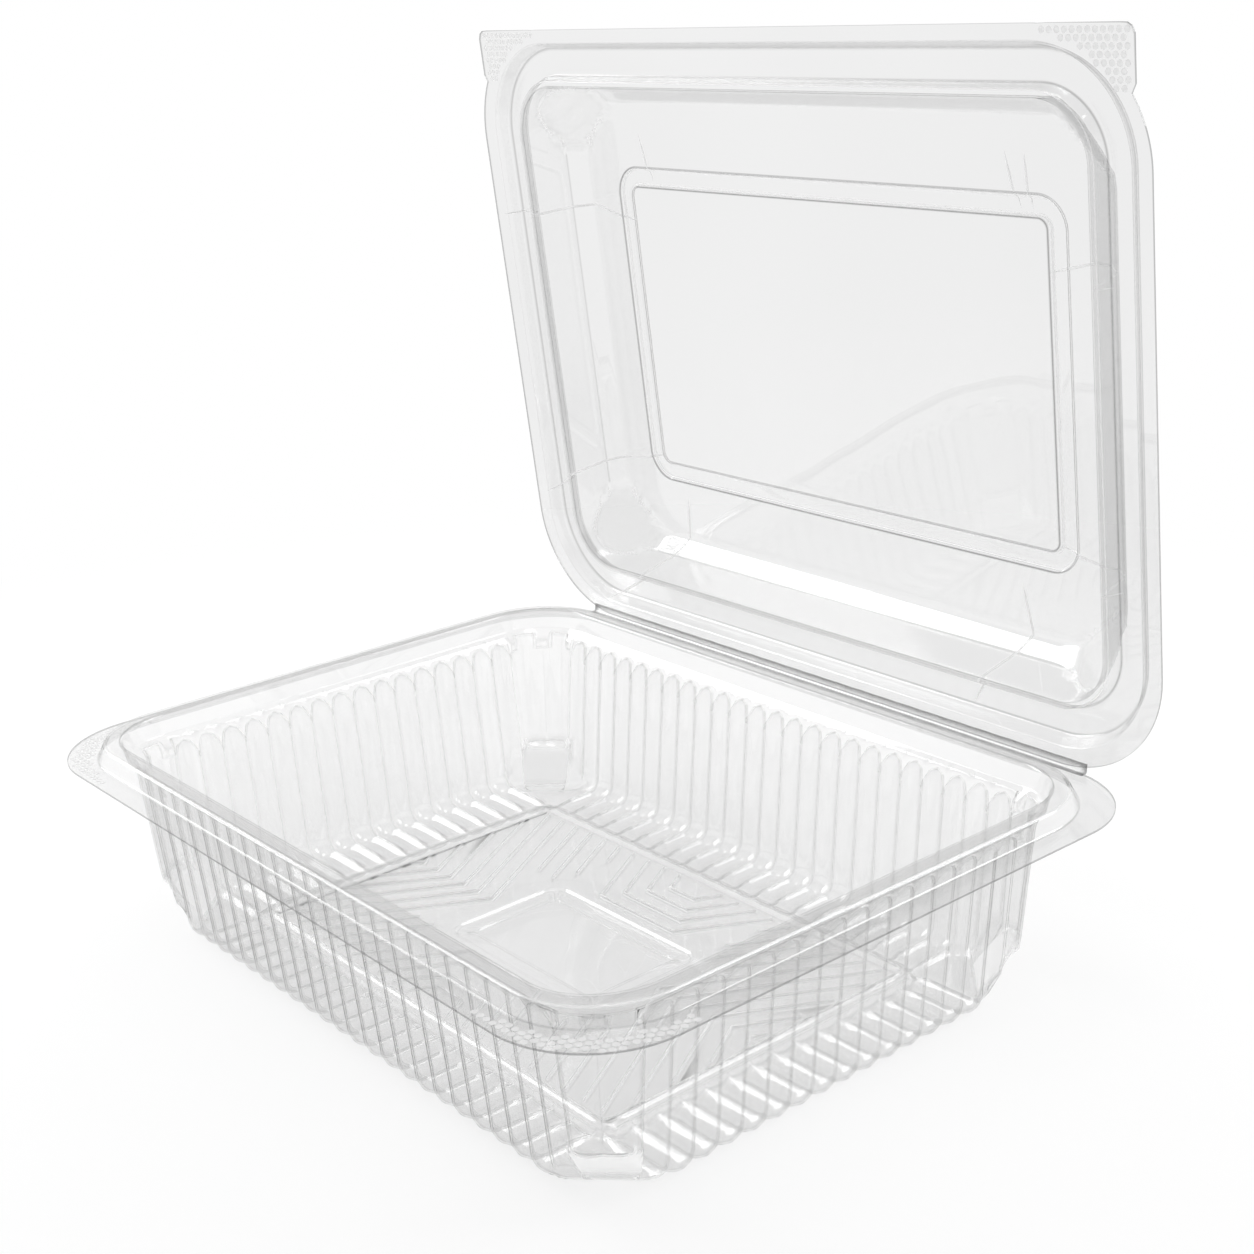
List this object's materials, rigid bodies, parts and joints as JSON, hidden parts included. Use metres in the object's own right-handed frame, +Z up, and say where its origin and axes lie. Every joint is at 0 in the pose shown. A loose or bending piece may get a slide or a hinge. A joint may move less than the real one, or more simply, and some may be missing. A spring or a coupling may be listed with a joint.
{
  "type": "hinged clamshell pack",
  "caption": "Clear plastic food pack with a fluted tray and a shallow framed lid, joined along one long edge by a living hinge.",
  "frame": {"origin": "middle of the tray's underside, in the plane of its feet", "axes": "+Z up, +X along the hinge, +Y towards the hinge"},
  "size_m": [0.1898, 0.1582, 0.1843],
  "materials": {
    "clear_plastic": "clear, glossy, thermoformed"
  },
  "bodies": {
    "tray": {"tray": "clear_plastic"},
    "lid": {"lid": "clear_plastic"}
  },
  "joints": [
    {"name": "lid_hinge", "type": "hinge", "parent": "tray", "child": "lid", "pos_m": [0, 0.0726, 0.04065], "axis": [-1, 0, 0], "range_deg": [-84, 96]}
  ]
}
